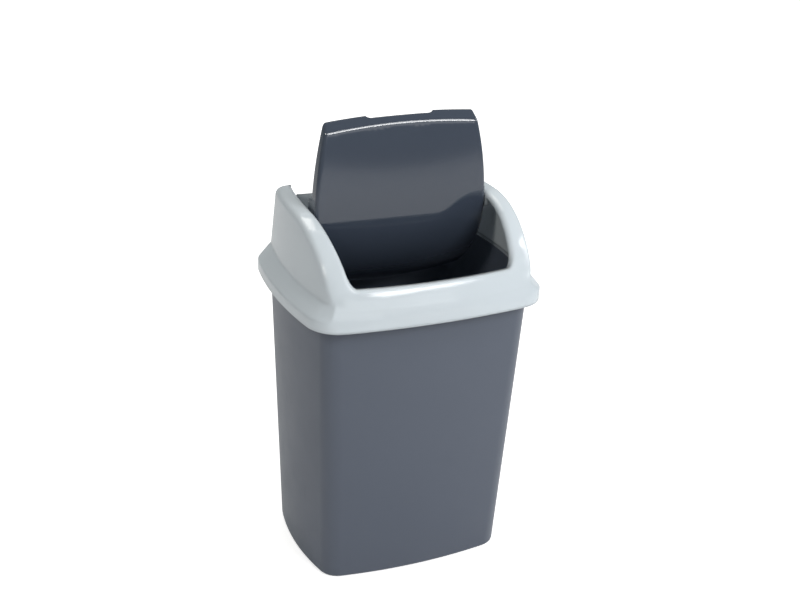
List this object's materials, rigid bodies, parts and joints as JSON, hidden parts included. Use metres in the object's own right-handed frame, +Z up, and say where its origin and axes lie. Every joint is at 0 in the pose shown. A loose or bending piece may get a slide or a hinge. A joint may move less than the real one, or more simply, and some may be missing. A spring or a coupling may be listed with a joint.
{
  "type": "swing-lid bin",
  "caption": "Countertop waste bin: a tapered bucket with a hooded lid frame on its rim and a curved flap that swings on two pins and falls shut after waste is pushed in.",
  "frame": {"origin": "on the counter, under the middle of the bucket", "axes": "+Z up, the low front of the hood towards -Y, the pivot of the flap along X"},
  "size_m": [0.25, 0.2012, 0.4501],
  "materials": {
    "bucket_plastic": "fine satin, mid grey",
    "lid_plastic": "semi-gloss, light cool grey",
    "flap_plastic": "gloss, dark grey"
  },
  "bodies": {
    "bucket": {"bucket": "bucket_plastic"},
    "lid": {"lid_frame": "lid_plastic"},
    "flap": {"swing_flap": "flap_plastic"}
  },
  "joints": [
    {"name": "lid_lift", "type": "slide", "parent": "bucket", "child": "lid", "axis": [0, 0, 1], "range_m": [0, 0.15]},
    {"name": "flap_swing", "type": "hinge", "parent": "lid", "child": "flap", "pos_m": [0, 0.0005, 0.355], "axis": [1, 0, 0], "range_deg": [-90, 28]}
  ]
}
